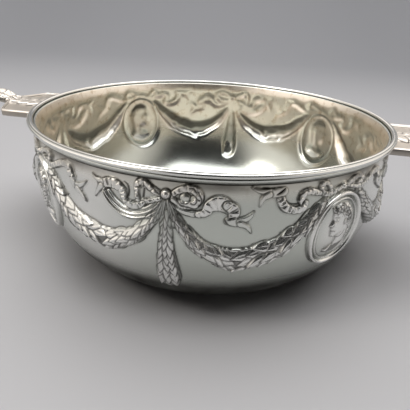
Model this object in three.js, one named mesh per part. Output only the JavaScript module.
// Round two-handled vegetable dish in silver: a raised bowl with chased ornament, a lip moulding and a
// collar wire soldered round its neck, and two flat ear handles.
// Millimetres, +Z up, origin at the centre of the flat bottom. The handles lie along X.
// Depths on the wall are measured down the outside of the section from the top of the lip.

import * as THREE from "three";

// Overall sizes of the dish
const RIM_RADIUS = 82.5; // outer edge of the lip
const DISH_HEIGHT = 65.5; // flat bottom to the top of the lip
const BASE_RADIUS = 49; // flat that the dish stands on
const SHEET = 1.0; // thickness of the raised sheet
const SOLDER_GAP = 0.3; // room for solder between two pieces

// Outside of the plain wall, without ornament
const NECK_INSET = 3.2; // neck, inside the edge of the lip
const BELLY_INSET = 2.4; // widest part of the wall, inside the edge of the lip
const BELLY_HEIGHT = 43.5; // height of the widest part
const BELLY_POWER = 1.93; // 2 is a quarter ellipse, less is a slacker curve
const FLARE_DEPTH = 4.5; // the neck turns out to the lip over this depth
const FLARE_OUT = 1.0; // by this much
const FLARE_POWER = 1.6;

// Lip moulding and collar wire
const LIP_DEPTH = 2.05; // lip moulding, top to bottom
const LIP_BEAD = 0.9; // radius of the bead on top of it
const LIP_BEAD_INSET = 1.5; // middle of the bead, inside the edge of the lip
const LIP_BAND = 0.75; // the band below the bead is rounded by this much
const LIP_GROOVE = 0.25; // groove between bead and band, how deep
const WIRE_GROOVE = 0.35; // dark groove between lip moulding and collar wire
const COLLAR_DEPTH = 2.0; // collar wire, top to bottom
const COLLAR_BEVEL = 0.7; // its lower edge is cut back by this much
const COLLAR_INSET = 1.6; // face of the collar wire, inside the edge of the lip
const SHEET_DEPTH = 1.5; // top edge of the sheet, below the top of the lip

// Chased ornament: four bays, each from a bow knot to the next, with a medallion between
const BAYS = 4;
const KNOT_DEPTH = 9.5; // centre of the bow knot
const KNOT_SIZE = 1.9;
const BOW_REACH = 6.6; // centre of each loop of a bow from its knot
const BOW_WIDE = 5.4;
const BOW_TALL = 3.6;
const RIBBON_START = 8; // ribbon tails, along the wall from the knot
const RIBBON_END = 27.5;
const RIBBON_HALF = 2.3;
const RIBBON_WAVE = 2.2;
const RIBBON_WAVES = 1.5;
const RIBBON_FALL = 6.5; // a tail ends this much lower than its bow
const MEDALLION_WIDE = 26;
const MEDALLION_TALL = 31;
const MEDALLION_DEPTH = 26; // centre of the medallion
const FRAME_SHARE = 0.24; // width of the medallion's frame over its half width
const SWAG_LOWEST = 24.5; // lowest point of a swag, along the wall from the knot
const SWAG_SAG = 22.6; // lowest point under the knot
const LEFT_SWAG_LIFT = 1.6; // the swag on the left of a knot hangs this much less
const SWAG_HALF = 4.6; // half width of a swag at its fullest
const SWAG_THIN = 0.9; // half width at its ends
const DROP_TIP = 49.5; // lowest leaf of the hanging drop
const DROP_FULL = 43; // depth where the drop is widest
const DROP_HALF = 4.6;
const DROP_THIN = 1.1;

// How far each form stands off the wall
const SWAG_RELIEF = 1.9;
const DROP_RELIEF = 1.5;
const FRAME_RELIEF = 1.6;
const FIELD_RELIEF = 0.5;
const BUST_RELIEF = 1.5;
const KNOT_RELIEF = 1.4;
const RIBBON_RELIEF = 1.0;
const HOLLOW_SHARE = 0.8; // hollows behind the chased forms, inside, as a share of their height

// Ear handles
const HANDLE_REACH = 42; // from the edge of the lip to the tip
const HANDLE_UNDER_COLLAR = 0.35; // upper side of the plate, below the collar wire
const HANDLE_PLATE = 2.2; // thickness of the plate
const HANDLE_HALF = 22; // half width of its broad part, where it meets the neck
const HANDLE_SHOULDER = 21.5; // the broad part ends this far out
const HANDLE_STEP = 5; // and narrows to its waist over this length
const HANDLE_WAIST_HALF = 5;
const HANDLE_LEAF_HALF = 10; // widest part of the leaf at the end
const HANDLE_TIP_HALF = 2.5;
const REED_RELIEF = 0.8; // reeded border over the plate
const REED_WIDE = 3.2; // width of the reeded border
const SPRAY_RELIEF = 1.6; // leaf spray down the middle
const SPRAY_HALF = 8; // half width of the leaf spray
const TIP_RISE = 2.6; // the leaf at the end stands this much higher

// Fineness of the faceted solids
const COLUMNS = 160; // round the outside, where the ornament is
const ORNAMENT_ROW = 2.6; // height of a row of facets there
const HOLLOW_ROW = 3.2; // and inside, where the hollows are
const PLAIN_ROW = 6.5;
const WIRE_COLUMNS = 72;
const HANDLE_ROWS = 24;
const HANDLE_COLUMNS = 14;

// Places that follow from the sizes
const NECK_RADIUS = RIM_RADIUS - NECK_INSET;
const BELLY_RADIUS = RIM_RADIUS - BELLY_INSET;
const LIP_BOTTOM = DISH_HEIGHT - LIP_DEPTH;
const COLLAR_TOP = LIP_BOTTOM - WIRE_GROOVE;
const COLLAR_BOTTOM = COLLAR_TOP - COLLAR_DEPTH;
const SHEET_TOP = DISH_HEIGHT - SHEET_DEPTH;
const HANDLE_TOP = COLLAR_BOTTOM - HANDLE_UNDER_COLLAR;
const HANDLE_BOTTOM = HANDLE_TOP - HANDLE_PLATE;
const UNDER_COLLAR = DISH_HEIGHT - COLLAR_BOTTOM + 0.5;
const UNDER_HANDLE = DISH_HEIGHT - HANDLE_BOTTOM + 0.5;
const BAY_HALF = Math.PI / BAYS;
const ORNAMENT_BOTTOM = DROP_TIP + ORNAMENT_ROW;

const clamp = THREE.MathUtils.clamp;
const smoothstep = THREE.MathUtils.smoothstep;

function silver(color, roughness) {
  return new THREE.MeshStandardMaterial({ color, roughness, metalness: 1 });
}

// Outside radius of the plain wall at height z
function wallRadius(z) {
  if (z <= BELLY_HEIGHT) {
    const low = 1 - clamp(z / BELLY_HEIGHT, 0, 1);
    const out = (1 - low ** BELLY_POWER) ** (1 / BELLY_POWER);
    return BASE_RADIUS + (BELLY_RADIUS - BASE_RADIUS) * out;
  }
  const up = clamp((z - BELLY_HEIGHT) / (SHEET_TOP - FLARE_DEPTH - BELLY_HEIGHT), 0, 1);
  const flare = clamp((z - SHEET_TOP + FLARE_DEPTH) / FLARE_DEPTH, 0, 1);
  return BELLY_RADIUS + (NECK_RADIUS - BELLY_RADIUS) * up * up + FLARE_OUT * flare ** FLARE_POWER;
}

// The wall's section from its top edge down to the flat bottom, as points with their depth down the
// wall and their outward normal
function wallSection() {
  const steps = 400;
  const points = [];
  let depth = DISH_HEIGHT - SHEET_TOP;
  for (let i = 0; i <= steps; i++) {
    const z = SHEET_TOP * (1 - i / steps) ** 2;
    const point = { r: wallRadius(z), z, depth: 0, nr: 1, nz: 0 };
    if (i > 0) depth += Math.hypot(point.r - points[i - 1].r, point.z - points[i - 1].z);
    point.depth = depth;
    points.push(point);
  }
  points.forEach((point, i) => {
    const before = points[Math.max(i - 1, 0)];
    const after = points[Math.min(i + 1, steps)];
    const length = Math.hypot(after.r - before.r, after.z - before.z);
    point.nr = (before.z - after.z) / length;
    point.nz = (after.r - before.r) / length;
  });
  return points;
}

const SECTION = wallSection();
const SECTION_END = SECTION[SECTION.length - 1].depth;

// The section's point at a depth down the wall
function sectionAt(depth) {
  let i = 1;
  while (i < SECTION.length - 1 && SECTION[i].depth < depth) i++;
  const a = SECTION[i - 1];
  const b = SECTION[i];
  const t = clamp((depth - a.depth) / (b.depth - a.depth), 0, 1);
  const mix = (key) => a[key] + (b[key] - a[key]) * t;
  return { r: mix("r"), z: mix("z"), nr: mix("nr"), nz: mix("nz") };
}

// A rounded rise: full at 0, nothing at 1 either way and past it
function dome(share) {
  return Math.sqrt(Math.max(1 - share * share, 0));
}

function swagHeight(along, depth, bayLength) {
  const end = bayLength - MEDALLION_WIDE / 2 + 3;
  if (along < 0.5 || along > end) return 0;
  const endDepth = MEDALLION_DEPTH - MEDALLION_TALL / 2 + 2;
  const lowest = KNOT_DEPTH + SWAG_SAG;
  const near = along < SWAG_LOWEST;
  const side = near ? (SWAG_LOWEST - along) / SWAG_LOWEST : (along - SWAG_LOWEST) / (end - SWAG_LOWEST);
  const power = near ? 2.4 : 1.85;
  const rise = lowest - (near ? KNOT_DEPTH : endDepth);
  const run = near ? SWAG_LOWEST : end - SWAG_LOWEST;
  const slope = (rise * power * side ** (power - 1)) / run;
  const off = Math.abs(depth - lowest + rise * side ** power) / Math.hypot(1, slope);
  const full = Math.sin((Math.PI * along) / end) ** 0.8;
  return SWAG_RELIEF * dome(off / (SWAG_THIN + (SWAG_HALF - SWAG_THIN) * full));
}

function dropHeight(along, depth) {
  if (depth < KNOT_DEPTH || depth > DROP_TIP) return 0;
  const fall = clamp((depth - KNOT_DEPTH) / (DROP_FULL - KNOT_DEPTH), 0, 1);
  const rounding = dome(Math.max(depth - DROP_FULL, 0) / (DROP_TIP - DROP_FULL));
  const half = (DROP_THIN + (DROP_HALF - DROP_THIN) * fall) * rounding;
  return half > 0 ? DROP_RELIEF * dome(along / half) : 0;
}

function medallionHeight(across, down) {
  const out = Math.hypot(across / (MEDALLION_WIDE / 2), down / (MEDALLION_TALL / 2));
  if (out >= 1) return 0;
  const inner = 1 - FRAME_SHARE;
  if (out > inner) return FRAME_RELIEF * Math.sin((Math.PI * (1 - out)) / FRAME_SHARE) ** 0.5;
  const head = dome(Math.hypot(across / 4.2, (down + 3) / 5.6));
  const shoulders = dome(Math.hypot(across / 6.5, (down - 8) / 4.5)) * 0.8;
  return FIELD_RELIEF + (BUST_RELIEF - FIELD_RELIEF) * Math.max(head, shoulders);
}

// A bow with two loops and waving tails, drawn from its knot
function bowHeight(along, depth, knotRelief) {
  const away = Math.abs(along);
  const knot = knotRelief * dome(Math.hypot(away, depth - KNOT_DEPTH) / KNOT_SIZE);
  const loopDown = depth - KNOT_DEPTH + 0.7;
  const loop = RIBBON_RELIEF * dome(Math.hypot((away - BOW_REACH) / BOW_WIDE, loopDown / BOW_TALL));
  const run = (away - RIBBON_START) / (RIBBON_END - RIBBON_START);
  if (run < 0 || run > 1) return Math.max(knot, loop);
  const wave = RIBBON_WAVE * Math.sin(run * RIBBON_WAVES * 2 * Math.PI);
  const off = depth - KNOT_DEPTH - RIBBON_FALL * run + wave;
  return Math.max(knot, loop, RIBBON_RELIEF * 0.8 * dome(off / RIBBON_HALF));
}

// Height of the raised forms over the plain wall, for an angle from -Y and a depth down the wall.
// Swags, drops and medallions leave hollows inside the dish, and the thin bows and ribbons do not.
function chasedHeight(angle, depth, withBows) {
  const bay = Math.round(angle / (2 * BAY_HALF));
  const fromKnot = (angle - bay * 2 * BAY_HALF) * BELLY_RADIUS;
  const bayLength = BAY_HALF * BELLY_RADIUS;
  const along = Math.abs(fromKnot);
  const lift = fromKnot < 0 ? LEFT_SWAG_LIFT * Math.sin((Math.PI * along) / bayLength) : 0;
  const parts = [
    swagHeight(along, depth + lift, bayLength),
    dropHeight(along, depth),
    medallionHeight(bayLength - along, depth - MEDALLION_DEPTH),
  ];
  if (withBows) {
    parts.push(bowHeight(along, depth, KNOT_RELIEF), bowHeight(bayLength - along, depth + 1.5, 0));
  }
  const clearOfWires = smoothstep(depth, UNDER_COLLAR, UNDER_COLLAR + 1.6);
  return Math.max(...parts) * clearOfWires * seatClearance(angle, depth);
}

// The wall is left plain where a handle is soldered to it
function seatClearance(angle, depth) {
  const fromHandle = Math.abs(Math.abs(Math.sin(angle)) - 1) * RIM_RADIUS;
  const seatHalf = (1 - Math.cos(Math.asin(HANDLE_HALF / RIM_RADIUS) + 0.05)) * RIM_RADIUS;
  if (fromHandle > seatHalf) return 1;
  return smoothstep(depth, UNDER_HANDLE, UNDER_HANDLE + 1.6);
}

// Values from one end to the other, at an even step near the one asked for
function spread(from, to, step) {
  const count = Math.max(Math.round(Math.abs(to - from) / step), 1);
  return Array.from({ length: count + 1 }, (_, i) => from + ((to - from) * i) / count);
}

// The point at a distance off the outside of the plain wall, along its normal
function offWall(wall, distance) {
  return { r: wall.r + wall.nr * distance, z: wall.z + wall.nz * distance };
}

// Rings of points from the middle of the bottom up the outside, over the edge and down the inside.
// Each ring has COLUMNS or COLUMNS / 2 points.
function bowlRings() {
  const rings = [];
  const ring = (count, place) => {
    const points = [];
    for (let i = 0; i < count; i++) {
      const angle = (2 * Math.PI * i) / count;
      const { r, z } = place(angle);
      points.push(new THREE.Vector3(r * Math.sin(angle), -r * Math.cos(angle), z));
    }
    rings.push(points);
  };
  const top = DISH_HEIGHT - SHEET_TOP;
  spread(SECTION_END, ORNAMENT_BOTTOM, PLAIN_ROW).slice(0, -1).forEach((depth) => {
    ring(COLUMNS / 2, () => sectionAt(depth));
  });
  const outside = [
    ...spread(ORNAMENT_BOTTOM, UNDER_HANDLE, ORNAMENT_ROW).slice(0, -1),
    ...spread(UNDER_HANDLE, UNDER_COLLAR, ORNAMENT_ROW).slice(0, -1),
    ...spread(UNDER_COLLAR, top, ORNAMENT_ROW),
  ];
  for (const depth of outside) {
    const wall = sectionAt(depth);
    ring(COLUMNS, (angle) => offWall(wall, chasedHeight(angle, depth, true)));
  }
  const edge = sectionAt(top);
  ring(COLUMNS / 2, () => ({ r: edge.r - SHEET, z: edge.z }));
  const under = sectionAt(UNDER_COLLAR);
  ring(COLUMNS / 2, () => offWall(under, -SHEET));
  for (const depth of spread(UNDER_HANDLE, ORNAMENT_BOTTOM, HOLLOW_ROW)) {
    const wall = sectionAt(depth);
    ring(COLUMNS, (angle) => offWall(wall, HOLLOW_SHARE * chasedHeight(angle, depth, false) - SHEET));
  }
  spread(ORNAMENT_BOTTOM, SECTION_END, PLAIN_ROW).slice(1).forEach((depth) => {
    const inner = offWall(sectionAt(depth), -SHEET);
    ring(COLUMNS / 2, () => ({ r: inner.r, z: Math.max(inner.z, SHEET) }));
  });
  return rings;
}

// Triangles between two rings, where one may have twice the points of the other
function stitch(indices, low, lowCount, high, highCount) {
  const count = Math.min(lowCount, highCount);
  const l = (i) => low + (i % lowCount);
  const h = (i) => high + (i % highCount);
  for (let i = 0; i < count; i++) {
    if (lowCount === highCount) {
      indices.push(l(i), l(i + 1), h(i + 1), l(i), h(i + 1), h(i));
    } else if (lowCount < highCount) {
      indices.push(l(i), l(i + 1), h(2 * i + 1), l(i), h(2 * i + 1), h(2 * i));
      indices.push(l(i + 1), h(2 * i + 2), h(2 * i + 1));
    } else {
      indices.push(l(2 * i), l(2 * i + 1), h(i), l(2 * i + 1), h(i + 1), h(i));
      indices.push(l(2 * i + 1), l(2 * i + 2), h(i + 1));
    }
  }
}

function solidFrom(points, indices) {
  const geometry = new THREE.BufferGeometry().setFromPoints(points);
  geometry.setIndex(indices);
  geometry.computeVertexNormals();
  return geometry;
}

function bowlGeometry() {
  const rings = bowlRings();
  const points = [new THREE.Vector3(0, 0, 0)];
  const starts = rings.map((ring) => {
    const start = points.length;
    points.push(...ring);
    return start;
  });
  const last = rings.length - 1;
  const middle = points.length;
  points.push(new THREE.Vector3(0, 0, SHEET));
  const indices = [];
  const first = rings[0].length;
  for (let i = 0; i < first; i++) indices.push(0, starts[0] + ((i + 1) % first), starts[0] + i);
  for (let i = 0; i < last; i++) {
    stitch(indices, starts[i], rings[i].length, starts[i + 1], rings[i + 1].length);
  }
  const end = rings[last].length;
  for (let i = 0; i < end; i++) indices.push(middle, starts[last] + i, starts[last] + ((i + 1) % end));
  return solidFrom(points, indices);
}

// A ring turned from a closed section, given as [radius, height] pairs that run anticlockwise
function turned(section) {
  const points = [...section, section[0]].map(([r, z]) => new THREE.Vector2(r, z));
  return new THREE.LatheGeometry(points, WIRE_COLUMNS).rotateX(Math.PI / 2);
}

// Points of an arc, from one angle to another in degrees
function arc(r, z, wide, tall, from, to, count) {
  return Array.from({ length: count + 1 }, (_, i) => {
    const angle = THREE.MathUtils.degToRad(from + ((to - from) * i) / count);
    return [r + wide * Math.cos(angle), z + tall * Math.sin(angle)];
  });
}

// The inner side of a wire that follows the neck, from one height down to another
function alongNeck(high, low) {
  const middle = (low + high) / 2;
  return [high, middle, low].map((z) => [wallRadius(z) + SOLDER_GAP, z]);
}

// A band with a bead over it and a fine groove between. The bead sits over the edge of the sheet.
function lipGeometry() {
  const beadRadius = RIM_RADIUS - LIP_BEAD_INSET;
  const beadHeight = DISH_HEIGHT - LIP_BEAD;
  const bead = arc(beadRadius, beadHeight, LIP_BEAD, LIP_BEAD, 50, 180, 13);
  const [grooveRadius, grooveTop] = bead[0];
  const bandTop = grooveTop - LIP_GROOVE / 2;
  const bandHalf = (bandTop - LIP_BOTTOM) / 2;
  const band = arc(RIM_RADIUS - LIP_BAND, LIP_BOTTOM + bandHalf, LIP_BAND, bandHalf, -90, 90, 8);
  return turned([
    [wallRadius(SHEET_TOP) + SOLDER_GAP, beadHeight],
    ...alongNeck(SHEET_TOP, LIP_BOTTOM),
    ...band,
    [grooveRadius, bandTop - LIP_GROOVE / 2],
    ...bead,
  ]);
}

// A flat wire whose lower edge is cut back to the neck
function collarGeometry() {
  const face = RIM_RADIUS - COLLAR_INSET;
  return turned([
    ...alongNeck(COLLAR_TOP, COLLAR_BOTTOM),
    [face - COLLAR_BEVEL, COLLAR_BOTTOM],
    [face, COLLAR_BOTTOM + COLLAR_BEVEL],
    [face, COLLAR_TOP],
  ]);
}

// Half width of a handle at a distance out from the neck: broad shoulders, a waist and a leaf
function handleHalf(out, length) {
  const waist = HANDLE_SHOULDER + HANDLE_STEP;
  const outline = new THREE.SplineCurve([
    new THREE.Vector2(0, HANDLE_HALF),
    new THREE.Vector2(HANDLE_SHOULDER * 0.5, HANDLE_HALF),
    new THREE.Vector2(HANDLE_SHOULDER * 0.86, HANDLE_HALF),
    new THREE.Vector2(HANDLE_SHOULDER, HANDLE_HALF * 0.93),
    new THREE.Vector2(HANDLE_SHOULDER + HANDLE_STEP * 0.5, (HANDLE_HALF + HANDLE_WAIST_HALF) * 0.4),
    new THREE.Vector2(waist, HANDLE_WAIST_HALF),
    new THREE.Vector2((waist + length) / 2, (HANDLE_WAIST_HALF + HANDLE_LEAF_HALF) / 2),
    new THREE.Vector2(length * 0.84, HANDLE_LEAF_HALF),
    new THREE.Vector2(length, HANDLE_TIP_HALF),
  ]);
  const points = outline.getPoints(120);
  const after = Math.max(points.findIndex((point) => point.x >= out - 1e-9), 1);
  const [a, b] = [points[after - 1], points[after]];
  return a.y + ((b.y - a.y) * clamp(out - a.x, 0, b.x - a.x)) / (b.x - a.x);
}

// How much higher than at the neck the plate is at a distance out
function handleRise(out, length) {
  return TIP_RISE * smoothstep(out, HANDLE_SHOULDER, length * 0.75);
}

// Height of the reeded border and the leaf spray over the plate, across its half width
function handleRelief(y, half, share) {
  const side = Math.abs(y);
  const reeds = REED_RELIEF * smoothstep(side, half - REED_WIDE - 0.5, half - REED_WIDE);
  const leaves = 0.8 + 0.2 * Math.cos(share * 8 * Math.PI);
  const spray = SPRAY_RELIEF * dome(side / Math.min(SPRAY_HALF, half * 0.8)) * leaves;
  return Math.max(reeds, spray * smoothstep(share, 0.05, 0.3)) * smoothstep(share, 0, 0.04);
}

function handleGeometry() {
  const root = wallRadius(HANDLE_TOP) + SOLDER_GAP;
  const length = RIM_RADIUS + HANDLE_REACH - root;
  const top = [];
  const bottom = [];
  for (const share of spread(0, 1, 1 / HANDLE_ROWS)) {
    const out = share * length;
    const half = handleHalf(out, length);
    const rise = handleRise(out, length);
    for (let column = 0; column <= HANDLE_COLUMNS; column++) {
      const y = half * ((2 * column) / HANDLE_COLUMNS - 1);
      const x = Math.sqrt(root * root - y * y) + out;
      top.push(new THREE.Vector3(x, y, HANDLE_TOP + rise + handleRelief(y, half, share)));
      bottom.push(new THREE.Vector3(x, y, HANDLE_BOTTOM + rise));
    }
  }
  return solidFrom([...top, ...bottom], plateIndices(HANDLE_ROWS, HANDLE_COLUMNS));
}

// Triangles of a closed plate whose top and bottom are grids of the same size, top first
function plateIndices(rows, columns) {
  const wide = columns + 1;
  const under = (rows + 1) * wide;
  const indices = [];
  for (let row = 0; row < rows; row++) {
    for (let column = 0; column < columns; column++) {
      const a = row * wide + column;
      const b = a + wide;
      indices.push(a, b, b + 1, a, b + 1, a + 1);
      indices.push(under + a, under + b + 1, under + b, under + a, under + a + 1, under + b + 1);
    }
  }
  const edge = [];
  for (let column = 0; column < columns; column++) edge.push(column);
  for (let row = 0; row < rows; row++) edge.push(row * wide + columns);
  for (let column = columns; column > 0; column--) edge.push(rows * wide + column);
  for (let row = rows; row > 0; row--) edge.push(row * wide);
  edge.forEach((a, i) => {
    const b = edge[(i + 1) % edge.length];
    indices.push(a, b, under + b, a, under + b, under + a);
  });
  return indices;
}

function piece(name, geometry, material) {
  const mesh = new THREE.Mesh(geometry, material);
  mesh.name = name;
  return mesh;
}

const dish = new THREE.Group();
dish.add(piece("bowl_body", bowlGeometry(), silver(0xb9b8b0, 0.24)));
dish.add(piece("rim_wire", lipGeometry(), silver(0xc9c7c0, 0.16)));
dish.add(piece("collar_wire", collarGeometry(), silver(0xb9b8b0, 0.2)));
for (const [name, turn] of [["handle_right", 0], ["handle_left", Math.PI]]) {
  const handle = piece(name, handleGeometry(), silver(0xcfc6b6, 0.32));
  handle.rotation.z = turn;
  dish.add(handle);
}

export default dish;
